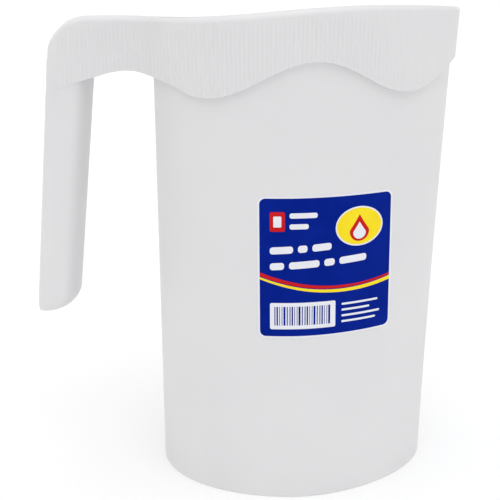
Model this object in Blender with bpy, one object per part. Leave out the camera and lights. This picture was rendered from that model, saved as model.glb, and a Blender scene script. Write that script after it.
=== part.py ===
"""A tall white plastic pitcher that holds a bag of milk: an egg-shaped, slightly
tapered cup with a thick wavy band round the rim, a bridge and a free hanging
handle moulded in one with it, and a square printed label on one side.

The nose of the pitcher points to +X, the handle to -X, the label to -Y.
Dimensions are in millimetres and are scaled to metres when a mesh is made.
"""
import math

import bmesh
import bpy
import numpy as np

MM = 0.001

# Plan of the cup: an egg, blunt at the back and drawn out to a nose. Each pair
# holds the value at the base and the value at the height PLAN_TOP. The taper
# between them lags by the share TAPER_SAG at half height.
PLAN_TOP = 228.0
BACK_X = (-43.05, -43.0)
NOSE_X = (90.7, 102.85)
WIDEST_X = (23.6, 20.2)
HALF_WIDTH = (50.2, 53.8)
BACK_POWER = (2.09, 2.28)
NOSE_POWER = (1.70, 1.61)
NOSE_RADIUS = 20.0
TAPER_SAG = 0.07
HALF_COLUMNS = 44
DENSE = 400

# Walls, base and the band round the rim.
WALL = 2.0
FLOOR = 2.4
BASE_EDGE = ((0.0, -0.6), (0.2, -0.2), (0.6, 0.0))
INSIDE_EDGE = ((6.5, 0.0), (3.6, 1.2), (FLOOR, 4.2))
BAND = 2.2
BAND_STEP = 0.1
LIP = 0.9
LIP_DROP = 1.6

# Height of the rim: lowest where the bridge begins, a little higher at the
# back and highest before the nose.
RIM_LOW = 224.7
RIM_LOW_X = -28.0
RIM_BACK_RISE = 1.2
RIM_BACK_X = -62.0
RIM_FRONT_RISE = 4.6
RIM_PEAK_X = 60.0
RIM_NOSE_FALL = 0.9

# Lower edge of the band: troughs and crests, each at its distance along the
# length, then the crest on the nose itself.
WAVE_BACK = 204.4
WAVE = ((-14.4, 190.1), (32.3, 205.6), (73.5, 191.2))
WAVE_NOSE = 205.6
WAVE_PLAN_Z = 200.0

# Bridge from the cup to the handle.
HANDLE_HALF_WIDTH = 13.8
HANDLE_CORNER = 5.0
BRIDGE_PROUD = 0.25
BRIDGE_LEAVES_X = -35.4
BRIDGE_FILLET = 20.0
BRIDGE_TOP_DROP = 19.0
BRIDGE_TOP_REACH = 21.5
BRIDGE_SUNK = 0.15
BRIDGE_BLOCK_Z = (180.0, 234.0)
ARCH = ((-95.1, 188.2), (-88.9, 190.7), (-79.2, 194.6), (-68.3, 197.8),
        (-62.5, 199.4), (-56.3, 200.2), (-50.3, 200.0), (-42.7, 198.2),
        (-32.6, 195.3), (-23.5, 191.9))
ARCH_INTO_CUP = 6.0
ARCH_PAST_BACK = 2.0

# Handle: a D section, flat at the back and round towards the cup, that leans
# outwards as it goes down and ends free.
HANDLE_BACK_X = -92.6
HANDLE_BACK_Z = 211.3
HANDLE_BACK_LEAN = 0.0887
HANDLE_INNER_X = -73.17
HANDLE_INNER_Z = 194.8
HANDLE_INNER_LEAN = 0.1049
HANDLE_ROUND = 8.0
HANDLE_ROUND_POWER = 0.84
HANDLE_END_Z = 80.4
HANDLE_END_RADIUS = 9.5
HANDLE_END_SHARE = 0.56
HANDLE_END_SIDE = 4.0
HANDLE_TOP_Z = 206.0
HANDLE_ROWS = (HANDLE_TOP_Z, 180.0, 150.0, 120.0)
HANDLE_END_ROWS = (1.0, 0.7, 0.48, 0.3, 0.17, 0.08, 0.02, 0.0)
HANDLE_SIDES = 24
CORNER_SHARE = 0.4

# Label.
LABEL_X = (6.1, 68.6)
LABEL_Z = (80.8, 146.9)
LABEL_CORNER = 3.4
LABEL_GAP = 0.3
LABEL_THICKNESS = 0.4

# Colours.
WHITE = (0.72, 0.72, 0.73)
WHITE_ROUGHNESS = 0.47
BLUE = (0.002, 0.014, 0.23)
BLUE_ROUGHNESS = 0.46


def clear_scene():
    for obj in list(bpy.data.objects):
        bpy.data.objects.remove(obj, do_unlink=True)
    for mesh in list(bpy.data.meshes):
        bpy.data.meshes.remove(mesh)


def collection(name):
    made = bpy.data.collections.new(name)
    bpy.context.scene.collection.children.link(made)
    return made


def plastic(name, colour, roughness):
    material = bpy.data.materials.new(name)
    material.use_nodes = True
    shader = material.node_tree.nodes["Principled BSDF"]
    shader.inputs["Base Color"].default_value = (*colour, 1.0)
    shader.inputs["Roughness"].default_value = roughness
    return material


def mesh_object(name, points, faces, into):
    """A mesh object from points in millimetres, with its faces turned outwards."""
    mesh = bpy.data.meshes.new(name)
    mesh.from_pydata([tuple(float(v) * MM for v in point) for point in points], [], faces)
    body = bmesh.new()
    body.from_mesh(mesh)
    bmesh.ops.recalc_face_normals(body, faces=body.faces)
    body.to_mesh(mesh)
    body.free()
    obj = bpy.data.objects.new(name, mesh)
    into.objects.link(obj)
    return obj


def loft(rings):
    """Points and faces of a closed body over rings that all hold the same number of points."""
    count = len(rings[0])
    points = [tuple(point) for ring in rings for point in ring]
    faces = []
    for row in range(len(rings) - 1):
        for i in range(count):
            j = (i + 1) % count
            faces.append((row * count + i, row * count + j,
                          (row + 1) * count + j, (row + 1) * count + i))
    last = (len(rings) - 1) * count
    faces.append(tuple(range(count - 1, -1, -1)))
    faces.append(tuple(last + i for i in range(count)))
    return points, faces


def dense_half_plan(end):
    """One half of the plan from the back to the nose, at the base (0) or the top (1)."""
    back, nose, widest, half = BACK_X[end], NOSE_X[end], WIDEST_X[end], HALF_WIDTH[end]
    angle = np.linspace(0.0, math.pi / 2, DENSE)
    power = 2.0 / BACK_POWER[end]
    rear = np.stack([widest - (widest - back) * np.cos(angle) ** power,
                     half * np.sin(angle) ** power], 1)
    power = 2.0 / NOSE_POWER[end]
    front = np.stack([widest + (nose - widest) * np.sin(angle) ** power,
                      half * np.cos(angle) ** power], 1)[1:]
    # The nose ends in an arc, where the normal drawn to the axis is one radius long.
    step = np.gradient(front, axis=0)
    reach = front[:, 1] * np.hypot(step[:, 0], step[:, 1]) / np.maximum(step[:, 0], 1e-9)
    meet = int(np.argmax((reach < NOSE_RADIUS) & (front[:, 0] > 0.5 * (widest + nose))))
    x, y = front[meet]
    centre = x + y * step[meet, 1] / step[meet, 0]
    radius = math.hypot(x - centre, y)
    turn = np.linspace(math.atan2(y, x - centre), 0.0, DENSE // 4)[1:]
    arc = np.stack([centre + radius * np.cos(turn), radius * np.sin(turn)], 1)
    return np.concatenate([rear, front[:meet + 1], arc])


def evenly(points, segments):
    """The same line with its points an equal length apart."""
    length = np.concatenate([[0.0], np.cumsum(np.hypot(*np.diff(points, axis=0).T))])
    at = np.linspace(0.0, length[-1], segments + 1)
    return np.stack([np.interp(at, length, points[:, k]) for k in (0, 1)], 1)


def half_plan_and_normals(segments):
    """Matching points of the half plan at the base and at PLAN_TOP, and the outward normals between."""
    low = evenly(dense_half_plan(0), segments)
    high = evenly(dense_half_plan(1), segments)
    step = np.gradient(0.5 * (low + high), axis=0)
    normal = np.stack([-step[:, 1], step[:, 0]], 1)
    normal /= np.hypot(normal[:, 0], normal[:, 1])[:, None]
    normal[0] = (-1.0, 0.0)
    normal[-1] = (1.0, 0.0)
    return low, high, normal


class Cup:
    """The cup's skin: a point for each column of the plan, height and offset."""

    def __init__(self, segments):
        low, high, normal = half_plan_and_normals(segments)
        mirror = np.array([1.0, -1.0])
        self.low = np.concatenate([low * mirror, low[-2:0:-1]])
        self.high = np.concatenate([high * mirror, high[-2:0:-1]])
        self.normal = np.concatenate([normal * mirror, normal[-2:0:-1]])
        self.segments = segments

    def ring(self, z, offset):
        """A ring at height z, one number or one a column, moved outwards by offset."""
        z = np.broadcast_to(np.asarray(z, float), (len(self.low),))
        share = (z / PLAN_TOP)[:, None]
        share = share - 4.0 * TAPER_SAG * share * (1.0 - share)
        flat = self.low + (self.high - self.low) * share + self.normal * offset
        return np.column_stack([flat, z])

    def side(self, z, offset):
        """The half ring on the -Y side, from the back to the nose."""
        return self.ring(z, offset)[:self.segments + 1]


def ease(share):
    """0 to 1 along half a wave."""
    return 0.5 - 0.5 * np.cos(math.pi * np.clip(share, 0.0, 1.0))


def rim_height(x):
    back = RIM_BACK_RISE * ease((RIM_LOW_X - x) / (RIM_LOW_X - RIM_BACK_X))
    front = RIM_FRONT_RISE * ease((x - RIM_LOW_X) / (RIM_PEAK_X - RIM_LOW_X))
    past_peak = (x - RIM_PEAK_X) / (NOSE_X[1] + BAND - RIM_PEAK_X)
    fall = RIM_NOSE_FALL * np.clip(past_peak, 0.0, 1.0) ** 2
    return RIM_LOW + back + front - fall


def wave_heights(cup):
    """The height of the band's lower edge at each column of the cup."""
    x = cup.side(WAVE_PLAN_Z, 0.0)[:, 0]
    columns = np.arange(cup.segments + 1)
    knots = [(0.0, WAVE_BACK)]
    knots += [(float(np.interp(at, x, columns)), height) for at, height in WAVE]
    knots += [(float(cup.segments), WAVE_NOSE)]
    heights = np.empty(len(columns))
    for (start, first), (end, second) in zip(knots[:-1], knots[1:]):
        inside = (columns >= start) & (columns <= end)
        heights[inside] = first + (second - first) * ease((columns[inside] - start) / (end - start))
    return np.concatenate([heights, heights[-2:0:-1]])


def cup_with_band(cup):
    """The cup: outside wall, step up to the band, lip, and the inside down to the floor."""
    wave = wave_heights(cup)
    rim = rim_height(cup.ring(PLAN_TOP, 0.0)[:, 0])
    rings = [cup.ring(z, offset) for z, offset in BASE_EDGE]
    foot = BASE_EDGE[-1][0]
    rings += [cup.ring(foot + (wave - foot) * share, 0.0) for share in (0.25, 0.5, 0.75, 1.0)]
    rings += [cup.ring(wave + BAND_STEP, BAND),
              cup.ring(rim - LIP_DROP, BAND),
              cup.ring(rim, BAND - LIP),
              cup.ring(rim, LIP - WALL),
              cup.ring(rim - LIP_DROP, -WALL)]
    deep = INSIDE_EDGE[0][0]
    rings += [cup.ring(deep + (rim - deep) * share, -WALL) for share in (0.75, 0.5, 0.25)]
    rings += [cup.ring(z, -WALL - inset) for z, inset in INSIDE_EDGE]
    return loft(rings)


def handle_back_x(z):
    return HANDLE_BACK_X - HANDLE_BACK_LEAN * (HANDLE_BACK_Z - z)


def end_round(z):
    """How far the round end of the handle has closed at height z, from 0 to 1."""
    drop = (HANDLE_END_Z + HANDLE_END_RADIUS - z) / HANDLE_END_RADIUS
    drop = min(1.0, max(0.0, drop))
    return 1.0 - math.sqrt(1.0 - drop * drop)


def handle_inner_x(z):
    """The side of the handle towards the cup, with the round end at the bottom."""
    straight = HANDLE_INNER_X - HANDLE_INNER_LEAN * (HANDLE_INNER_Z - z)
    return straight - HANDLE_END_SHARE * (straight - handle_back_x(z)) * end_round(z)


def handle_section(z):
    """A D with its flat side at the back of the handle."""
    back, inner = handle_back_x(z), handle_inner_x(z)
    depth = inner - back
    corner = min(HANDLE_CORNER, CORNER_SHARE * depth)
    reach = min(HANDLE_ROUND, depth - corner)
    half = HANDLE_HALF_WIDTH - HANDLE_END_SIDE * end_round(z)
    ring = []
    for step in range(4):
        angle = math.pi / 2 * step / 3
        ring.append((back + corner - corner * math.cos(angle),
                     half - corner + corner * math.sin(angle), z))
    for step in range(HANDLE_SIDES // 2 + 1):
        angle = math.pi / 2 - math.pi * step / (HANDLE_SIDES // 2)
        side = math.copysign(abs(math.sin(angle)) ** HANDLE_ROUND_POWER, math.sin(angle))
        ring.append((inner - reach + reach * abs(math.cos(angle)) ** HANDLE_ROUND_POWER,
                     half * side, z))
    for step in range(4):
        angle = math.pi / 2 * (3 - step) / 3
        ring.append((back + corner - corner * math.cos(angle),
                     -half + corner - corner * math.sin(angle), z))
    return ring


def handle_grip():
    bend = [HANDLE_END_Z + HANDLE_END_RADIUS * share for share in HANDLE_END_ROWS]
    return loft([handle_section(z) for z in [*HANDLE_ROWS, *bend]])


def bridge_plan(cup, z):
    """The outline of the bridge seen from above: inside the cup's wall, down the funnel, round the handle."""
    middle = z if z < PLAN_TOP else PLAN_TOP
    inside = cup.side(middle, -0.5 * WALL)
    band = cup.side(middle, 0.5 * BAND)
    last = int(np.searchsorted(band[:, 0], BRIDGE_LEAVES_X))
    leave = band[last]
    direction = band[last - 1] - band[last + 1]
    heading = math.atan2(direction[1], -direction[0])
    fillet_rise = BRIDGE_FILLET * (1.0 - math.cos(heading))
    run = (-leave[1] - HANDLE_HALF_WIDTH - fillet_rise) / math.sin(heading)
    start = np.array([leave[0] - run * math.cos(heading), leave[1] + run * math.sin(heading)])
    outline = [tuple(leave[:2])]
    for step in range(7):
        turn = heading * (1.0 - step / 6)
        outline.append((start[0] - BRIDGE_FILLET * (math.sin(heading) - math.sin(turn)),
                        start[1] + BRIDGE_FILLET * (math.cos(turn) - math.cos(heading))))
    end = handle_back_x(z) - BRIDGE_PROUD
    half = HANDLE_HALF_WIDTH + BRIDGE_PROUD
    outline = [(x, min(y, -half)) for x, y in outline]
    for step in range(4):
        angle = math.pi / 2 * step / 3
        outline.append((end + HANDLE_CORNER - HANDLE_CORNER * math.sin(angle),
                        -half + HANDLE_CORNER - HANDLE_CORNER * math.cos(angle)))
    wall = [tuple(point[:2]) for point in inside[:last + 1]]
    near = wall[1:] + outline
    far = [(x, -y) for x, y in reversed(near)]
    return [(x, y, z) for x, y in [wall[0]] + near + far]


def bridge_block(cup):
    return loft([bridge_plan(cup, z) for z in BRIDGE_BLOCK_Z])


def bridge_profile():
    """The bridge seen from the side: arch below, level top, round outer corner."""
    top = RIM_LOW + RIM_BACK_RISE - BRIDGE_SUNK
    drop = BRIDGE_TOP_DROP
    corner_x = handle_back_x(top - drop) - BRIDGE_PROUD + BRIDGE_TOP_REACH
    inner_end = ARCH[-1][0] + ARCH_INTO_CUP
    side = list(ARCH) + [(inner_end, ARCH[-1][1])]
    side += [(x, float(rim_height(x)) - BRIDGE_SUNK)
             for x in np.linspace(inner_end, RIM_BACK_X, 9)]
    for step in range(9):
        angle = math.pi / 2 * step / 8
        side.append((corner_x - BRIDGE_TOP_REACH * math.sin(angle),
                     top - drop + drop * math.cos(angle)))
    side.append((handle_back_x(ARCH[0][1]) - ARCH_PAST_BACK, ARCH[0][1]))
    wide = HALF_WIDTH[1]
    return loft([[(x, -wide, z) for x, z in side], [(x, wide, z) for x, z in side]])


def label_sheet(cup):
    """A thin sheet with rounded corners, bent round the -Y side of the cup."""
    left, right = LABEL_X
    bottom, top = LABEL_Z
    corner = [LABEL_CORNER * (1.0 - math.cos(math.pi / 2 * step / 4)) for step in range(5)]
    across = [left + d for d in corner]
    across += list(np.linspace(left + LABEL_CORNER, right - LABEL_CORNER, 17)[1:-1])
    across += [right - d for d in reversed(corner)]
    rings = []
    for x in across:
        near = min(x - left, right - x, LABEL_CORNER)
        inset = LABEL_CORNER - math.sqrt(LABEL_CORNER ** 2 - (LABEL_CORNER - near) ** 2)
        heights = np.linspace(bottom + inset, top - inset, 4)
        ring = []
        for offset, order in ((LABEL_GAP, heights), (LABEL_GAP + LABEL_THICKNESS, heights[::-1])):
            for z in order:
                side = cup.side(z, offset)
                ring.append((x, float(np.interp(x, side[:, 0], side[:, 1])), z))
        rings.append(ring)
    return loft(rings)


def helper(obj):
    obj.hide_render = True
    obj.display_type = "WIRE"


def boolean(obj, name, operation, other):
    modifier = obj.modifiers.new(name, "BOOLEAN")
    modifier.operation = operation
    modifier.solver = "MANIFOLD"
    modifier.object = other


def shade_smooth(obj):
    for polygon in obj.data.polygons:
        polygon.use_smooth = len(polygon.vertices) == 4


def main():
    clear_scene()
    parts = collection("milk_bag_pitcher")
    helpers = collection("helpers")
    helpers.hide_render = True
    white = plastic("white_plastic", WHITE, WHITE_ROUGHNESS)
    printed = plastic("label_print", BLUE, BLUE_ROUGHNESS)

    cup = Cup(HALF_COLUMNS)
    pitcher = mesh_object("pitcher", *cup_with_band(cup), parts)
    bridge = mesh_object("bridge_block", *bridge_block(cup), helpers)
    profile = mesh_object("bridge_profile", *bridge_profile(), helpers)
    grip = mesh_object("handle_grip", *handle_grip(), helpers)
    for obj in (bridge, profile, grip):
        helper(obj)
    boolean(bridge, "side_profile", "INTERSECT", profile)
    boolean(pitcher, "bridge", "UNION", bridge)
    boolean(pitcher, "handle", "UNION", grip)
    label = mesh_object("label", *label_sheet(Cup(2 * HALF_COLUMNS)), parts)
    pitcher.data.materials.append(white)
    label.data.materials.append(printed)
    for obj in (pitcher, label):
        shade_smooth(obj)


main()
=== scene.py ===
"""Looks of the white plastic pitcher for a bag of milk: the moulding with its finely
ribbed band and rolled lip, and the printed label on its side.

Shapes are worked out in millimetres in the CAD frame and scaled to metres when a
mesh is made. The nose points to +X, the handle to -X, the label to -Y.
"""

import math

import bmesh
import bpy
import numpy as np
from mathutils import Matrix


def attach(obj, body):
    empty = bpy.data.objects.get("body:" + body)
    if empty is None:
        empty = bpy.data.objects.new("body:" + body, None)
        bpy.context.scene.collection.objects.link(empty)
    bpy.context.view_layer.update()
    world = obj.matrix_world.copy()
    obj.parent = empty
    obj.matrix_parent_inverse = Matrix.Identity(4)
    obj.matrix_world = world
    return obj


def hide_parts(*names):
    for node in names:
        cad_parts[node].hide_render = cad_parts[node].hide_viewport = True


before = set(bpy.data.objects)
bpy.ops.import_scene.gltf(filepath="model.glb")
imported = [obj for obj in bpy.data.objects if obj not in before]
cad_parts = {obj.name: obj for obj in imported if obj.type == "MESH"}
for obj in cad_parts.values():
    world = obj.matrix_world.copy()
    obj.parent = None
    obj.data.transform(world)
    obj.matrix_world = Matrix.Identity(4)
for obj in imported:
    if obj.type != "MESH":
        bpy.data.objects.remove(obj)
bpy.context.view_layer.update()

MM = 0.001

# Plan of the cup: an egg, blunt at the back and drawn out to a nose. Each pair holds
# the value at the base and at the height PLAN_TOP. The taper between them lags by the
# share TAPER_SAG at half height.
PLAN_TOP = 228.0
BACK_X = (-43.05, -43.0)
NOSE_X = (90.7, 102.85)
WIDEST_X = (23.6, 20.2)
HALF_WIDTH = (50.2, 53.8)
BACK_POWER = (2.09, 2.28)
NOSE_POWER = (1.70, 1.61)
NOSE_RADIUS = 20.0
TAPER_SAG = 0.07
DENSE = 3000
CUP_COLUMNS = 180
CUP_ROWS = 9
BASE_STEPS = 5
HOLLOW_ROWS = 8
HOLLOW_STEPS = 8

# Walls, base, band and lip. The lip rolls down by its full height where the wall faces
# sideways and by less where the wall faces along the length.
WALL = 2.0
FLOOR = 2.4
BASE_ROUND = 0.9
INSIDE_ROUND = 4.2
BAND = 2.2
BAND_EDGE = 0.3
BAND_EDGE_TAIL = 0.15
BAND_EDGE_STEPS = 4
LIP_ROLL = 3.3
LIP_STEPS = 11
LIP_INNER = 0.6
LIP_INNER_STEPS = 5
LIP_SIDE_POWER = 0.7
HOLLOW_PAST_RIM = 6.0

# Height of the rim along the length.
RIM_LOW = 224.7
RIM_LOW_X = -28.0
RIM_BACK_RISE = 1.2
RIM_BACK_X = -62.0
RIM_FRONT_RISE = 4.6
RIM_PEAK_X = 60.0
RIM_NOSE_FALL = 0.9

# Lower edge of the band on the cup, and the arch under the bridge.
WAVE_BACK = 204.4
WAVE = ((-14.4, 190.1), (32.3, 205.6), (73.5, 191.2))
WAVE_NOSE = 205.6
WAVE_PLAN_Z = 200.0
ARCH = ((-105.0, 184.1), (-95.1, 188.2), (-88.9, 190.7), (-79.2, 194.6),
        (-68.3, 197.8), (-62.5, 199.4), (-56.3, 200.2), (-50.3, 200.0),
        (-42.7, 198.2), (-32.6, 195.3), (-23.5, 191.9), (-14.4, 190.1))
ARCH_STEPS = 12
ARCH_MEETS_X = (-30.0, -20.0)

# Bridge and handle. The band stands proud of the handle by BRIDGE_PROUD at its sides
# and by BACK_PROUD at its back, and goes from one to the other along PROUD_RUN.
HANDLE_HALF_WIDTH = 13.8
HANDLE_CORNER = 5.0
BACK_SAG = 0.45
BRIDGE_PROUD = 0.4
BACK_PROUD = 0.12
PROUD_RUN = 9.0
BRIDGE_LEAVES_X = -35.4
BRIDGE_FILLET = 20.0
BRIDGE_TOP_DROP = 19.0
BRIDGE_TOP_REACH = 21.5
TAIL_START_X = -83.0
HANDLE_BACK_X = -92.6
HANDLE_BACK_Z = 211.3
HANDLE_BACK_LEAN = 0.0887
HANDLE_INNER_X = -73.17
HANDLE_INNER_Z = 194.8
HANDLE_INNER_LEAN = 0.1049
HANDLE_ROUND = 8.0
HANDLE_ROUND_POWER = 0.84
HANDLE_END_Z = 80.4
HANDLE_END_RADIUS = 9.5
HANDLE_END_SHARE = 0.56
HANDLE_END_SIDE = 4.0
HANDLE_END_EDGE = 0.5
HANDLE_TOP_Z = 206.0
HANDLE_BEND_Z = 96.0
HANDLE_ROWS = 24
HANDLE_END_ROWS = 21
CORNER_SHARE = 0.4
CORNER_STEPS = 8
ROUND_STEPS = 48

# Ribs on the band. They come in over RIBS_START_RUN behind the handle, get shallower
# along RIBS_FADE_RUN towards the nose and end at RIBS_END_X.
RIB_PITCH = 1.9
RIB_DEPTH = 0.28
RIB_COLUMNS = 8
RIBS_START_X = -90.5
RIBS_START_RUN = 4.0
RIBS_FADE_X = 56.0
RIBS_FADE_RUN = 34.0
RIBS_FADE_SHARE = 0.7
RIBS_END_X = 98.0
RIBS_END_RUN = 6.0
RIB_TOP_RUN = 3.0
RIB_TOP_SHARE = 0.25

# Skin of the band: the height at which its columns are set out, the two heights whose
# plans give the plan at any other height, and the shares of its height with a row.
BAND_PLAN_Z = 207.0
BAND_PLANS_Z = (180.0, 234.0)
BAND_ROWS = (0.3, 0.6, 0.85, 1.0)
NOSE_COLUMNS = 70
BACK_COLUMNS = 4
CORNER_COLUMNS = 12
FLANK_COLUMNS = 14
HEADING_REACH = 4
LEAVE_MARGIN = 3.0

# Label, then its blue field inside the white border. The sheet's front and back lie at
# these distances from the wall, and each layer of print a little further out.
LABEL_X = (6.1, 68.6)
LABEL_Z = (80.8, 146.9)
LABEL_CORNER = 3.4
FIELD_X = (7.0, 67.7)
FIELD_Z = (81.6, 146.1)
FIELD_CORNER = 2.7
SHEET_FRONT = 0.1
SHEET_BACK = -0.08
LAYER = 0.03
BLUNT = 0.02
LABEL_COLUMNS = 360
PRINT_ROW = 2.5
PRINT_COLUMN = 1.5
DISC_COLUMNS = 32
DROP_COLUMNS = 40
RIBBON_COLUMNS = 60

# Noise lies mostly in the first of these ranges. Colours change over the second.
NOISE_RANGE = (0.3, 0.7)
MOTTLE_RANGE = (0.35, 0.65)

# Camera, in metres and degrees.
CAMERA_PLACE = (0.00304, -0.4251, 0.22658)
CAMERA_PITCH = 11.582
CAMERA_ROLL = -0.5355
CAMERA_LENS = 62.33
CAMERA_SHIFT_Y = -0.12

# Backdrop, in millimetres, with its shade of grey and its own glow.
FLOOR_RADIUS = 2200.0
FLOOR_BEND = 800.0
FLOOR_BEND_STEPS = 12
WALL_TOP = 1300.0
FLOOR_MIDDLE = 60.0
FLOOR_SIDES = 72
FLOOR_SHADE = 0.66
FLOOR_GLOW = 0.30

# The sky, then the soft lights: azimuth from the camera towards the nose, elevation,
# strength, softness and colour.
SKY_COLOUR = (0.945, 0.962, 1.0, 1.0)
SKY_STRENGTH = 0.445
SUNS = {
    "overhead": (0.0, 84.0, 1.6, 80.0, (1.0, 1.0, 1.0)),
    "key": (8.0, 45.0, 0.36, 66.0, (1.0, 1.0, 1.0)),
    "left": (-94.0, 26.0, 0.28, 54.0, (1.0, 0.80, 0.64)),
    "right": (80.0, 35.0, 0.17, 60.0, (1.0, 1.0, 1.0)),
}


def collection(name):
    """A new collection in the scene."""
    made = bpy.data.collections.new(name)
    bpy.context.scene.collection.children.link(made)
    return made


def mesh_object(name, points, faces, into, slots=None):
    """A mesh object from points in millimetres. Its faces are turned outwards, or each
    keeps its side and takes the material that slots names for it."""
    mesh = bpy.data.meshes.new(name)
    mesh.from_pydata([tuple(float(v) * MM for v in point) for point in points], [], faces)
    if slots is not None:
        mesh.polygons.foreach_set("material_index", slots)
    else:
        body = bmesh.new()
        body.from_mesh(mesh)
        bmesh.ops.recalc_face_normals(body, faces=body.faces)
        body.to_mesh(mesh)
        body.free()
    obj = bpy.data.objects.new(name, mesh)
    into.objects.link(obj)
    return obj


def skin(rings):
    """Points and faces of an open skin over closed rings with equal numbers of points."""
    count = len(rings[0])
    points = [tuple(point) for ring in rings for point in ring]
    faces = []
    for row in range(len(rings) - 1):
        for i in range(count):
            j = (i + 1) % count
            faces.append((row * count + i, row * count + j,
                          (row + 1) * count + j, (row + 1) * count + i))
    return points, faces


def flat_caps(points, faces, count):
    """Closes the first and last ring with one face each."""
    last = len(points) - count
    faces.append(tuple(range(count - 1, -1, -1)))
    faces.append(tuple(last + i for i in range(count)))
    return points, faces


def strip_caps(points, faces, count):
    """Closes the first and last ring with strips from each column to its mirror image."""
    half = count // 2
    for first in (0, len(points) - count):
        for i in range(half):
            near, following = first + i, first + i + 1
            over, over_next = first + (count - i) % count, first + count - i - 1
            if i == 0:
                faces.append((near, following, over_next))
            elif i == half - 1:
                faces.append((near, following, over))
            else:
                faces.append((near, following, over_next, over))
    return points, faces


def ease(share):
    """The share from 0 to 1, eased in and out along half a wave."""
    return 0.5 - 0.5 * np.cos(math.pi * np.clip(share, 0.0, 1.0))


def quarter_turn(steps):
    """Angles from 0 to a right angle in equal steps."""
    return np.linspace(0.0, math.pi / 2, steps + 1)


def dense_half_plan(end):
    """One half of the plan from the back to the nose, at the base (0) or the top (1)."""
    back, nose, widest, half = BACK_X[end], NOSE_X[end], WIDEST_X[end], HALF_WIDTH[end]
    angle = quarter_turn(DENSE - 1)
    power = 2.0 / BACK_POWER[end]
    rear = np.stack([widest - (widest - back) * np.cos(angle) ** power,
                     half * np.sin(angle) ** power], 1)
    power = 2.0 / NOSE_POWER[end]
    front = np.stack([widest + (nose - widest) * np.sin(angle) ** power,
                      half * np.cos(angle) ** power], 1)[1:]
    # The nose ends in an arc, where the normal drawn to the axis is one radius long.
    step = np.gradient(front, axis=0)
    reach = front[:, 1] * np.hypot(step[:, 0], step[:, 1]) / np.maximum(step[:, 0], 1e-9)
    meet = int(np.argmax((reach < NOSE_RADIUS) & (front[:, 0] > 0.5 * (widest + nose))))
    x, y = front[meet]
    centre = x + y * step[meet, 1] / step[meet, 0]
    radius = math.hypot(x - centre, y)
    turn = np.linspace(math.atan2(y, x - centre), 0.0, DENSE // 4)[1:]
    arc = np.stack([centre + radius * np.cos(turn), radius * np.sin(turn)], 1)
    return np.concatenate([rear, front[:meet + 1], arc])


def evenly(points, shares):
    """The points that lie at these shares of a line's length."""
    length = np.concatenate([[0.0], np.cumsum(np.hypot(*np.diff(points, axis=0).T))])
    at = np.asarray(shares) * length[-1]
    return np.stack([np.interp(at, length, points[:, k]) for k in (0, 1)], 1)


def normals_of(line):
    """The outward normals of a half plan that runs from the back to the nose on the +Y side."""
    step = np.gradient(line, axis=0)
    normal = np.stack([-step[:, 1], step[:, 0]], 1)
    normal /= np.hypot(normal[:, 0], normal[:, 1])[:, None]
    normal[0] = (-1.0, 0.0)
    normal[-1] = (1.0, 0.0)
    return normal


def whole_ring(half):
    """A closed ring from its half on the -Y side, whose two ends lie on the axis."""
    return np.concatenate([half, half[-2:0:-1] * np.array([1.0, -1.0, 1.0])])


def even_shares(segments):
    """The shares of a line's length that cut it into equal segments."""
    return np.linspace(0.0, 1.0, segments + 1)


class Cup:
    """The cup's skin: a point for each column of the half plan, height and offset. The
    columns stand at these shares of the plan's length, from the back to the nose."""

    def __init__(self, shares):
        low = evenly(dense_half_plan(0), shares)
        high = evenly(dense_half_plan(1), shares)
        over = np.array([1.0, -1.0])
        self.normal = normals_of(0.5 * (low + high)) * over
        self.low, self.high = low * over, high * over
        self.shares = shares

    def side(self, z, offset):
        """The half ring on the -Y side, from the back to the nose."""
        z = np.broadcast_to(np.asarray(z, float), (len(self.low),))
        share = (z / PLAN_TOP)[:, None]
        share = share - 4.0 * TAPER_SAG * share * (1.0 - share)
        flat = self.low + (self.high - self.low) * share + self.normal * offset
        return np.column_stack([flat, z])

    def ring(self, z, offset):
        """The whole ring, from the back to the nose and home on the +Y side."""
        return whole_ring(self.side(z, offset))


def rim_height(x):
    """The height of the rim at each place along the length."""
    back = RIM_BACK_RISE * ease((RIM_LOW_X - x) / (RIM_LOW_X - RIM_BACK_X))
    front = RIM_FRONT_RISE * ease((x - RIM_LOW_X) / (RIM_PEAK_X - RIM_LOW_X))
    past_peak = (x - RIM_PEAK_X) / (NOSE_X[1] + BAND - RIM_PEAK_X)
    fall = RIM_NOSE_FALL * np.clip(past_peak, 0.0, 1.0) ** 2
    return RIM_LOW + back + front - fall


def handle_back_x(z):
    """The flat back of the handle, which leans outwards as it goes down."""
    return HANDLE_BACK_X - HANDLE_BACK_LEAN * (HANDLE_BACK_Z - z)


def top_height(x):
    """The rim, carried on over the bridge and round the outer corner of the handle."""
    top = RIM_LOW + RIM_BACK_RISE
    corner_x = handle_back_x(top - BRIDGE_TOP_DROP) - BRIDGE_PROUD + BRIDGE_TOP_REACH
    out = np.clip((corner_x - x) / BRIDGE_TOP_REACH, 0.0, 1.0)
    return rim_height(x) - BRIDGE_TOP_DROP * (1.0 - np.sqrt(1.0 - out ** 2))


def wave_heights(cup):
    """The height of the band's lower edge at each column of the half cup."""
    x = cup.side(WAVE_PLAN_Z, 0.0)[:, 0]
    shares = cup.shares
    knots = [(0.0, WAVE_BACK)]
    knots += [(float(np.interp(at, x, shares)), height) for at, height in WAVE]
    knots += [(1.0, WAVE_NOSE)]
    heights = np.empty(len(shares))
    for (start, first), (end, second) in zip(knots[:-1], knots[1:]):
        inside = (shares >= start) & (shares <= end)
        along = (shares[inside] - start) / (end - start)
        heights[inside] = first + (second - first) * ease(along)
    return heights


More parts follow.
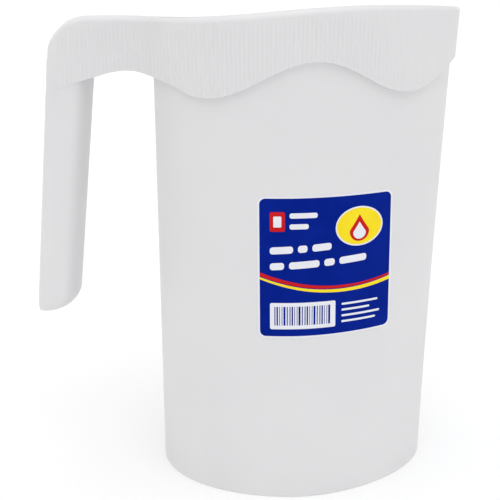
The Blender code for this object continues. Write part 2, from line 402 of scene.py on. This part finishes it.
def smooth_arch():
    """The arch as a dense smooth line, from a Catmull-Rom curve through its points."""
    knots = np.array(ARCH)
    padded = np.vstack([2 * knots[0] - knots[1], knots, 2 * knots[-1] - knots[-2]])
    share = np.linspace(0.0, 1.0, ARCH_STEPS, endpoint=False)[:, None]
    line = []
    for a, b, c, d in zip(padded[:-3], padded[1:-2], padded[2:-1], padded[3:]):
        line.append(b + 0.5 * share * (c - a + share * (2 * a - 5 * b + 4 * c - d
                                                        + share * (3 * (b - c) + d - a))))
    return np.vstack(line + [knots[-1:]])


class Band:
    """The outer side of the band, the bridge and the top of the handle as one skin of fine
    columns. They start at the middle of the handle's back and end at the nose."""

    def __init__(self):
        # Columns stand at even steps along the length, so that all ribs are alike.
        probe = Cup(even_shares(DENSE))
        x = probe.side(BAND_PLAN_Z, BAND)[:, 0]
        step = RIB_PITCH / RIB_COLUMNS
        ribbed = step * np.arange(math.ceil(TAIL_START_X / step),
                                  math.floor(RIBS_END_X / step) + 1)
        on_cup = np.interp(ribbed[ribbed > BRIDGE_LEAVES_X - LEAVE_MARGIN], x, probe.shares)
        to_nose = np.linspace(on_cup[-1], 1.0, NOSE_COLUMNS + 1)[1:]
        fine = Cup(np.concatenate([[0.0], on_cup, to_nose]))
        self.fine = fine
        x = fine.side(BAND_PLAN_Z, BAND)[:, 0]
        self.leave = int(np.searchsorted(x, BRIDGE_LEAVES_X))
        self.tail_x = ribbed[ribbed < x[self.leave] - 0.5 * step]
        middle = self.half(BAND_PLAN_Z)
        self.count = len(middle)
        self.normal = normals_of(middle * np.array([1.0, -1.0])) * np.array([1.0, -1.0])
        self.x = middle[:, 0]
        arch = smooth_arch()
        wave = wave_heights(fine)
        tail = self.count - (len(wave) - self.leave)
        on_arch = np.interp(self.x, arch[:, 0], arch[:, 1])
        on_wave = np.concatenate([on_arch[:tail], wave[self.leave:]])
        start, end = ARCH_MEETS_X
        share = ease((self.x - start) / (end - start))
        self.low = on_arch + (on_wave - on_arch) * share
        self.top = top_height(self.x)

    def half(self, z):
        """The plan of the -Y half at height z."""
        side_line = self.fine.side(z, BAND)[:, :2]
        band = side_line[self.leave:]
        leave = band[0]
        direction = side_line[self.leave - HEADING_REACH] - side_line[self.leave + HEADING_REACH]
        heading = math.atan2(direction[1], -direction[0])
        side = HANDLE_HALF_WIDTH + BRIDGE_PROUD
        rise = BRIDGE_FILLET * (1.0 - math.cos(heading))
        run = (-leave[1] - side - rise) / math.sin(heading)
        bend_end_x = leave[0] - run * math.cos(heading)
        bend_start_x = bend_end_x - BRIDGE_FILLET * math.sin(heading)
        flat = HANDLE_HALF_WIDTH + BACK_PROUD
        back = handle_back_x(z) - BACK_PROUD
        across = np.linspace(0.0, flat - HANDLE_CORNER, BACK_COLUMNS)
        sag = BACK_SAG / (flat - HANDLE_CORNER) ** 2
        plan = [np.column_stack([back + sag * across ** 2, -across])]
        turn = quarter_turn(CORNER_COLUMNS)[1:]
        corner_x = back + BACK_SAG + HANDLE_CORNER * (1.0 - np.cos(turn))
        corner_y = HANDLE_CORNER - flat - HANDLE_CORNER * np.sin(turn)
        plan.append(np.column_stack([corner_x, corner_y]))
        flank = np.linspace(corner_x[-1], self.tail_x[0], FLANK_COLUMNS + 2)[1:-1]
        x = np.concatenate([flank, self.tail_x])
        y = -flat - (side - flat) * ease((x - corner_x[-1]) / PROUD_RUN)
        into = np.clip(x - bend_start_x, 0.0, BRIDGE_FILLET * math.sin(heading))
        y -= BRIDGE_FILLET - np.sqrt(BRIDGE_FILLET ** 2 - into ** 2)
        y -= np.clip(x - bend_end_x, 0.0, None) * math.tan(heading)
        plan.append(np.column_stack([x, y]))
        plan.append(band)
        return np.vstack(plan)

    def row(self, z, inset, ribs):
        """A whole ring at these heights, moved in by inset, with a share of the ribs' depth."""
        bottom, top = BAND_PLANS_Z
        low, high = self.half(bottom), self.half(top)
        share = ((z - bottom) / (top - bottom))[:, None]
        phase = 2.0 * math.pi * self.x / RIB_PITCH
        fade = ease((self.x - RIBS_START_X) / RIBS_START_RUN)
        fade *= 1.0 - RIBS_FADE_SHARE * ease((self.x - RIBS_FADE_X) / RIBS_FADE_RUN)
        fade *= ease((RIBS_END_X - self.x) / RIBS_END_RUN)
        relief = -RIB_DEPTH * ribs * fade * (0.5 - 0.5 * np.cos(phase)) ** 2
        flat = low + (high - low) * share + self.normal * (relief - inset)[:, None]
        return whole_ring(np.column_stack([flat, z]))


def band_body():
    """The band, bridge and handle top as a solid block with a rolled upper edge."""
    band = Band()
    one = np.ones(band.count)
    edge = np.where(band.x < BRIDGE_LEAVES_X, BAND_EDGE_TAIL, BAND_EDGE)
    sideways = np.abs(band.normal[:, 1]) ** LIP_SIDE_POWER
    rows = [band.row(band.low, one * (BAND + 0.5 * WALL), one * 0.0)]
    for turn in quarter_turn(BAND_EDGE_STEPS)[::-1]:
        rows.append(band.row(band.low + edge * (1.0 - math.sin(turn)),
                             edge * (1.0 - math.cos(turn)), one))
    shoulder = band.top - LIP_ROLL * sideways
    foot = band.low + edge
    for share in BAND_ROWS:
        z = foot + (shoulder - foot) * share
        ribs = np.clip((shoulder - z) / RIB_TOP_RUN + RIB_TOP_SHARE, 0.0, 1.0)
        rows.append(band.row(z, one * 0.0, ribs))
    for turn in quarter_turn(LIP_STEPS)[1:]:
        inset = LIP_ROLL * (1.0 - math.cos(turn))
        x = band.x - band.normal[:, 0] * inset
        z = top_height(x) - LIP_ROLL * (1.0 - math.sin(turn)) * sideways
        rows.append(band.row(z, one * inset, one * max(0.0, RIB_TOP_SHARE - turn)))
    return strip_caps(*skin(rows), len(rows[0]))


def cup_body(cup):
    """The outside of the cup, solid, up to inside the band."""
    rings = [cup.ring(BASE_ROUND * (1.0 - math.sin(turn)), -BASE_ROUND * (1.0 - math.cos(turn)))
             for turn in quarter_turn(BASE_STEPS)[::-1]]
    top = rim_height(cup.side(PLAN_TOP, 0.0)[:, 0]) - LIP_ROLL
    for share in even_shares(CUP_ROWS)[1:]:
        rings.append(cup.ring(BASE_ROUND + (top - BASE_ROUND) * share, 0.0))
    return strip_caps(*skin(rings), len(rings[0]))


def cup_hollow(cup):
    """The inside of the cup, with a rounded edge at the floor and at the lip."""
    rings = [cup.ring(FLOOR + INSIDE_ROUND * (1.0 - math.sin(turn)),
                      -WALL - INSIDE_ROUND * (1.0 - math.cos(turn)))
             for turn in quarter_turn(HOLLOW_STEPS)[::-1]]
    rim = rim_height(cup.side(PLAN_TOP, 0.0)[:, 0])
    foot = FLOOR + INSIDE_ROUND
    for share in even_shares(HOLLOW_ROWS)[1:]:
        rings.append(cup.ring(foot + (rim - LIP_INNER - foot) * share, -WALL))
    for turn in quarter_turn(LIP_INNER_STEPS)[1:]:
        rings.append(cup.ring(rim - LIP_INNER * (1.0 - math.sin(turn)),
                              -WALL + LIP_INNER * (1.0 - math.cos(turn))))
    rings.append(cup.ring(rim + HOLLOW_PAST_RIM, -WALL + LIP_INNER))
    return strip_caps(*skin(rings), len(rings[0]))


def end_round(z):
    """How far the round end of the handle has closed at height z, from 0 to 1."""
    drop = (HANDLE_END_Z + HANDLE_END_RADIUS - z) / HANDLE_END_RADIUS
    drop = min(1.0, max(0.0, drop))
    return 1.0 - math.sqrt(1.0 - drop * drop)


def handle_inner_x(z):
    """The side of the handle towards the cup, with the round end at the bottom."""
    straight = HANDLE_INNER_X - HANDLE_INNER_LEAN * (HANDLE_INNER_Z - z)
    return straight - HANDLE_END_SHARE * (straight - handle_back_x(z)) * end_round(z)


def handle_section(z, shrink):
    """A D with its flat side at the back of the handle, its outline moved in by shrink."""
    back, inner = handle_back_x(z) + shrink, handle_inner_x(z) - shrink
    depth = inner - back
    corner = min(HANDLE_CORNER - shrink, CORNER_SHARE * depth)
    reach = min(HANDLE_ROUND, depth - corner)
    half = HANDLE_HALF_WIDTH - HANDLE_END_SIDE * end_round(z) - shrink
    turn = quarter_turn(CORNER_STEPS)
    near_x = back + corner - corner * np.cos(turn)
    near_y = half - corner + corner * np.sin(turn)
    angle = np.linspace(math.pi / 2, -math.pi / 2, ROUND_STEPS + 1)
    round_x = inner - reach + reach * np.abs(np.cos(angle)) ** HANDLE_ROUND_POWER
    round_y = half * np.sign(np.sin(angle)) * np.abs(np.sin(angle)) ** HANDLE_ROUND_POWER
    x = np.concatenate([near_x, round_x, near_x[::-1]])
    y = np.concatenate([near_y, round_y, -near_y[::-1]])
    return np.column_stack([x, y, np.full(len(x), z)])


def handle_grip():
    """The hanging part of the handle, closed by its round end."""
    heights = np.linspace(HANDLE_TOP_Z, HANDLE_BEND_Z, HANDLE_ROWS)
    rings = [handle_section(z, 0.0) for z in heights]
    shares = 1.0 - np.sin(quarter_turn(HANDLE_END_ROWS)[:-1])
    for share in shares:
        z = HANDLE_END_Z + HANDLE_END_RADIUS * share
        edge = max(0.0, HANDLE_END_EDGE - HANDLE_END_RADIUS * share)
        shrink = HANDLE_END_EDGE - math.sqrt(HANDLE_END_EDGE ** 2 - edge ** 2)
        rings.append(handle_section(z, shrink))
    return flat_caps(*skin(rings), len(rings[0]))


def joined(name, base, steps, into):
    """The object left by these Booleans on base. What it is made from is then removed."""
    for operation, other in steps:
        modifier = base.modifiers.new(operation.lower(), "BOOLEAN")
        modifier.operation = operation
        modifier.solver = "MANIFOLD"
        modifier.object = other
    graph = bpy.context.evaluated_depsgraph_get()
    mesh = bpy.data.meshes.new_from_object(base.evaluated_get(graph))
    made = bpy.data.objects.new(name, mesh)
    into.objects.link(made)
    for obj in [base] + [other for _, other in steps]:
        bpy.data.objects.remove(obj, do_unlink=True)
    return made


def smooth(obj, degrees):
    """Smooth shading, with an edge left sharp where its faces meet at a wider angle."""
    obj.data.polygons.foreach_set("use_smooth", [True] * len(obj.data.polygons))
    obj.data.set_sharp_from_angle(angle=math.radians(degrees))


# Materials.

def new_material(name):
    """A material with its node tree and its shader."""
    material = bpy.data.materials.new(name)
    material.use_nodes = True
    return material, material.node_tree, material.node_tree.nodes["Principled BSDF"]


def noise(tree, scale, detail, roughness):
    """A noise texture over the object's own coordinates."""
    place = tree.nodes.new("ShaderNodeTexCoord")
    texture = tree.nodes.new("ShaderNodeTexNoise")
    texture.inputs["Scale"].default_value = scale
    texture.inputs["Detail"].default_value = detail
    texture.inputs["Roughness"].default_value = roughness
    tree.links.new(place.outputs["Object"], texture.inputs["Vector"])
    return texture.outputs["Fac"]


def spread(tree, value, low, high):
    """Noise carried from its usual range to the range low to high."""
    node = tree.nodes.new("ShaderNodeMapRange")
    node.inputs["From Min"].default_value = NOISE_RANGE[0]
    node.inputs["From Max"].default_value = NOISE_RANGE[1]
    node.inputs["To Min"].default_value = low
    node.inputs["To Max"].default_value = high
    tree.links.new(value, node.inputs["Value"])
    return node.outputs["Result"]


def mottle(tree, value, first, second):
    """A colour that wanders with the noise between first and second."""
    ramp = tree.nodes.new("ShaderNodeValToRGB")
    for element, position, colour in zip(ramp.color_ramp.elements, MOTTLE_RANGE, (first, second)):
        element.position = position
        element.color = (*colour, 1.0)
    tree.links.new(value, ramp.inputs["Fac"])
    return ramp.outputs["Color"]


def bumpy(tree, shader, value, strength, depth):
    """Fine relief of this depth in metres."""
    bump = tree.nodes.new("ShaderNodeBump")
    bump.inputs["Strength"].default_value = strength
    bump.inputs["Distance"].default_value = depth
    tree.links.new(value, bump.inputs["Height"])
    tree.links.new(bump.outputs["Normal"], shader.inputs["Normal"])


def white_plastic():
    """Satin moulded plastic that lets a little light in."""
    material, tree, shader = new_material("satin_white_plastic")
    tint = mottle(tree, noise(tree, 22.0, 3.0, 0.5),
                  (0.712, 0.711, 0.718), (0.732, 0.730, 0.735))
    tree.links.new(tint, shader.inputs["Base Color"])
    satin = spread(tree, noise(tree, 160.0, 4.0, 0.6), 0.42, 0.52)
    tree.links.new(satin, shader.inputs["Roughness"])
    bumpy(tree, shader, noise(tree, 1500.0, 3.0, 0.55), 0.12, 0.00004)
    shader.inputs["IOR"].default_value = 1.5
    shader.inputs["Specular IOR Level"].default_value = 0.3
    shader.inputs["Subsurface Weight"].default_value = 0.12
    shader.inputs["Subsurface Radius"].default_value = (1.0, 0.9, 0.85)
    shader.inputs["Subsurface Scale"].default_value = 0.003
    return material


def print_ink(name, first, second, roughness):
    """Printed film in a colour that wanders between first and second."""
    material, tree, shader = new_material(name)
    tint = mottle(tree, noise(tree, 90.0, 4.0, 0.6), first, second)
    tree.links.new(tint, shader.inputs["Base Color"])
    satin = spread(tree, noise(tree, 420.0, 3.0, 0.6), roughness - 0.04, roughness + 0.06)
    tree.links.new(satin, shader.inputs["Roughness"])
    bumpy(tree, shader, noise(tree, 900.0, 2.0, 0.5), 0.1, 0.00002)
    shader.inputs["IOR"].default_value = 1.46
    shader.inputs["Specular IOR Level"].default_value = 0.03
    return material


# Label.

class Print:
    """Shapes printed in layers on a sheet that is bent round the -Y side of the cup."""

    def __init__(self):
        self.cup = Cup(even_shares(LABEL_COLUMNS))
        self.points, self.faces, self.slots = [], [], []

    def place(self, x, z, offset):
        """The point at this distance from the wall."""
        side = self.cup.side(z, offset)
        return (x, float(np.interp(x, side[:, 0], side[:, 1])), z)

    def grid(self, across, low, high, rows, offset):
        """Adds points in columns and gives their numbers as an array."""
        first = len(self.points)
        for x, bottom, top in zip(across, low, high):
            for z in np.linspace(bottom, top, rows + 1):
                self.points.append(self.place(float(x), float(z), offset))
        return np.arange(first, len(self.points)).reshape(len(across), rows + 1)

    def shape(self, across, low, high, layer, slot, rows=None):
        """The area between two lines of heights, given at each place across."""
        tall = max(float(b - a) for a, b in zip(low, high))
        rows = rows or max(1, int(tall / PRINT_ROW))
        front = self.grid(across, low, high, rows, SHEET_FRONT + LAYER * layer)
        faces = list(zip(*(part.ravel().tolist() for part in
                           (front[:-1, :-1], front[1:, :-1], front[1:, 1:], front[:-1, 1:]))))
        if layer == 0:
            # The sheet itself is a closed body, with an edge and a back sunk in the wall.
            back = self.grid(across, low, high, rows, SHEET_BACK)
            shift = int(back[0, 0] - front[0, 0])
            faces += [tuple(point + shift for point in reversed(face)) for face in faces]
            rim = [*front[:-1, 0], *front[-1, :-1], *front[:0:-1, -1], *front[0, :0:-1]]
            rim = [int(point) for point in rim]
            for near, following in zip(rim, rim[1:] + rim[:1]):
                faces.append((following, near, near + shift, following + shift))
        self.faces += faces
        self.slots += [slot] * len(faces)

    def rounded(self, left, right, bottom, top, corner, layer, slot, rise=0.0):
        """A rectangle with round corners. rise leans it: height gained for each step across."""
        turn = 1.0 - np.cos(quarter_turn(CORNER_STEPS))
        steps = max(2, int((right - left - 2 * corner) / PRINT_COLUMN))
        across = np.concatenate([left + corner * turn,
                                 np.linspace(left + corner, right - corner, steps + 1)[1:-1],
                                 (right - corner * turn)[::-1]])
        near = np.minimum(np.minimum(across - left, right - across), corner)
        inset = corner - np.sqrt(np.maximum(corner ** 2 - (corner - near) ** 2, 0.0))
        lean = rise * (across - left)
        self.shape(across, bottom + inset + lean, top - inset + lean, layer, slot)

    def disc(self, x, z, radius, layer, slot, wide=1.0):
        """A disc, or an oval that is this much wider than tall."""
        turn = np.linspace(BLUNT, math.pi - BLUNT, DISC_COLUMNS + 1)
        across = x - wide * radius * np.cos(turn)
        self.shape(across, z - radius * np.sin(turn), z + radius * np.sin(turn), layer, slot)

    def drop(self, x, z, radius, tall, layer, slot):
        """A drop that stands on its round end and comes to a point at the top."""
        turn = np.linspace(BLUNT, math.pi - BLUNT, DROP_COLUMNS + 1)
        across = x - radius * np.cos(turn)
        reach = np.clip(1.0 - np.abs(across - x) / radius, 0.0, 1.0)
        high = z + (tall - radius) * reach ** 1.6 + 0.55 * radius * np.sin(turn)
        self.shape(across, z - radius * np.sin(turn), high, layer, slot)

    def ribbon(self, left, right, middle, half, layer, slot):
        """A stripe whose height and half width are functions of the place across."""
        across = np.linspace(left, right, RIBBON_COLUMNS + 1)
        centre, width = middle(across), half(across)
        self.shape(across, centre - width, centre + width, layer, slot, 1)


WHITE, BLUE, RED, YELLOW = range(4)


def label_print():
    """A made-up print: its places are measured from the field's lower left corner."""
    sheet = Print()
    sheet.rounded(*LABEL_X, *LABEL_Z, LABEL_CORNER, 0, WHITE)
    sheet.rounded(*FIELD_X, *FIELD_Z, FIELD_CORNER, 1, BLUE)
    left, right = FIELD_X
    foot = FIELD_Z[0]

    # A drop on an oval with a pale edge, high on the right.
    sheet.disc(left + 45.5, foot + 50.0, 9.2, 2, WHITE, 1.22)
    sheet.disc(left + 45.5, foot + 50.0, 8.5, 3, YELLOW, 1.24)
    sheet.drop(left + 45.5, foot + 47.6, 4.6, 10.0, 4, RED)
    sheet.drop(left + 45.5, foot + 47.0, 3.0, 6.4, 5, WHITE)

    # A small block and two short bars, high on the left.
    sheet.rounded(left + 4.6, left + 11.4, foot + 49.4, foot + 58.4, 0.8, 2, RED)
    sheet.rounded(left + 6.2, left + 9.8, foot + 51.4, foot + 56.4, 0.5, 3, WHITE)
    sheet.rounded(left + 13.4, left + 26.0, foot + 55.4, foot + 57.8, 1.0, 2, WHITE)
    sheet.rounded(left + 13.4, left + 22.0, foot + 50.4, foot + 52.8, 1.0, 2, WHITE)

    # Rows of plain bars where a line of print would be.
    rows = ((38.6, 3.3, ((4.6, 15.0), (17.2, 21.5), (23.7, 32.5))),
            (31.2, 3.3, ((4.6, 11.0), (13.2, 27.0), (29.2, 34.0), (36.2, 49.0))))
    for height, tall, bars in rows:
        for start, end in bars:
            base = foot + height + 0.05 * start
            sheet.rounded(left + start, left + end, base, base + tall, 1.3, 2, WHITE, 0.05)

    # A red and a yellow band that sag across the whole field.
    def sag(x):
        return foot + 21.5 + 7.0 * ((x - left) / (right - left) - 0.62) ** 2 / 0.38

    sheet.ribbon(left, right, lambda x: sag(x) + 0.9,
                 lambda x: 0.5 + 0.4 * (right - x) / 60.0, 2, RED)
    sheet.ribbon(left, right, lambda x: sag(x) - 0.9,
                 lambda x: 0.5 + 0.4 * (x - left) / 60.0, 2, YELLOW)

    # A white panel with upright bars, low on the left, and short thin bars beside it.
    sheet.rounded(left + 4.6, left + 34.6, foot + 3.4, foot + 16.0, 0.8, 2, WHITE)
    at = left + 6.6
    for i in range(23):
        wide = (0.45, 0.9, 0.3, 0.65)[(i * 7 + i // 3) % 4]
        sheet.rounded(at, at + wide, foot + 5.2, foot + 14.2, 0.05, 3, BLUE)
        at += wide + (0.5, 0.8, 0.6)[(i * 5) % 3]
    for height, end in ((5.0, 54.0), (7.8, 56.0), (10.6, 51.0), (13.4, 55.0)):
        sheet.rounded(left + 37.5, left + end, foot + height, foot + height + 1.0, 0.45, 2, WHITE)
    return sheet


# Build the pieces.

pieces = collection("looks")
cup = Cup(even_shares(CUP_COLUMNS))
pitcher = joined("pitcher_body", mesh_object("cup_body", *cup_body(cup), pieces), [
    ("UNION", mesh_object("band_body", *band_body(), pieces)),
    ("UNION", mesh_object("handle_grip", *handle_grip(), pieces)),
    ("DIFFERENCE", mesh_object("cup_hollow", *cup_hollow(cup), pieces)),
], pieces)
smooth(pitcher, 40.0)
pitcher.data.materials.clear()
pitcher.data.materials.append(white_plastic())
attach(pitcher, "root")
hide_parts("pitcher")

sheet = label_print()
label = mesh_object("label_sheet", sheet.points, sheet.faces, pieces, sheet.slots)
smooth(label, 60.0)
for ink in (print_ink("print_white", (0.77, 0.78, 0.83), (0.80, 0.81, 0.86), 0.34),
            print_ink("print_blue", (0.0006, 0.013, 0.225), (0.0014, 0.016, 0.255), 0.46),
            print_ink("print_red", (0.55, 0.012, 0.014), (0.60, 0.016, 0.017), 0.34),
            print_ink("print_yellow", (0.90, 0.70, 0.02), (0.93, 0.74, 0.03), 0.34)):
    label.data.materials.append(ink)
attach(label, "root")
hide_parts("label")


# Floor and backdrop: a pale round floor whose edge curves up on all sides.

def backdrop():
    """The floor, the bend at its edge and the wall above it, turned round the middle."""
    line = [(FLOOR_MIDDLE, 0.0), (FLOOR_RADIUS, 0.0)]
    line += [(FLOOR_RADIUS + FLOOR_BEND * math.sin(t), FLOOR_BEND * (1.0 - math.cos(t)))
             for t in quarter_turn(FLOOR_BEND_STEPS)[1:]]
    line += [(FLOOR_RADIUS + FLOOR_BEND, WALL_TOP)]
    turn = np.linspace(0.0, 2.0 * math.pi, FLOOR_SIDES, endpoint=False)
    rings = [np.column_stack([r * np.cos(turn), r * np.sin(turn), np.full(FLOOR_SIDES, z)])
             for r, z in line]
    points, faces = skin(rings)
    faces.append(tuple(range(FLOOR_SIDES - 1, -1, -1)))
    made = mesh_object("backdrop", points, faces, pieces, [0] * len(faces))
    smooth(made, 60.0)
    material, _, shader = new_material("backdrop_white")
    shader.inputs["Base Color"].default_value = (FLOOR_SHADE, FLOOR_SHADE, FLOOR_SHADE, 1.0)
    shader.inputs["Roughness"].default_value = 0.9
    shader.inputs["Specular IOR Level"].default_value = 0.1
    shader.inputs["Emission Color"].default_value = (1.0, 1.0, 1.0, 1.0)
    shader.inputs["Emission Strength"].default_value = FLOOR_GLOW
    made.data.materials.append(material)


def soft_sun(name, azimuth, elevation, strength, softness, colour):
    """A wide soft light from that side, azimuth 0 from the camera and 90 from the nose."""
    data = bpy.data.lights.new(name, "SUN")
    data.energy = strength
    data.angle = math.radians(softness)
    data.color = colour
    obj = bpy.data.objects.new(name, data)
    bpy.context.scene.collection.objects.link(obj)
    obj.rotation_euler = (math.radians(90.0 - elevation), 0.0, math.radians(azimuth))


def lighting():
    """An even pale sky and the soft lights."""
    world = bpy.data.worlds.new("soft_white")
    world.use_nodes = True
    shader = world.node_tree.nodes["Background"]
    shader.inputs["Color"].default_value = SKY_COLOUR
    shader.inputs["Strength"].default_value = SKY_STRENGTH
    bpy.context.scene.world = world
    for name, settings in SUNS.items():
        soft_sun(name, *settings)


def camera():
    """The camera at the photo's viewing angle, which looks along +Y and a little down."""
    data = bpy.data.cameras.new("camera")
    data.lens = CAMERA_LENS
    data.sensor_width = 36.0
    data.shift_y = CAMERA_SHIFT_Y
    data.clip_start = 0.01
    obj = bpy.data.objects.new("camera", data)
    bpy.context.scene.collection.objects.link(obj)
    pitch, roll = math.radians(CAMERA_PITCH), math.radians(CAMERA_ROLL)
    right = (math.cos(roll), math.sin(pitch) * math.sin(roll), math.cos(pitch) * math.sin(roll))
    up = (-math.sin(roll), math.sin(pitch) * math.cos(roll), math.cos(pitch) * math.cos(roll))
    back = (0.0, -math.cos(pitch), math.sin(pitch))
    turned = Matrix.Identity(4)
    for i, axis in enumerate((right, up, back)):
        for j in range(3):
            turned[j][i] = axis[j]
    turned.translation = CAMERA_PLACE
    obj.matrix_world = turned
    bpy.context.scene.camera = obj


backdrop()
lighting()
camera()
bpy.context.scene.view_settings.view_transform = "Standard"
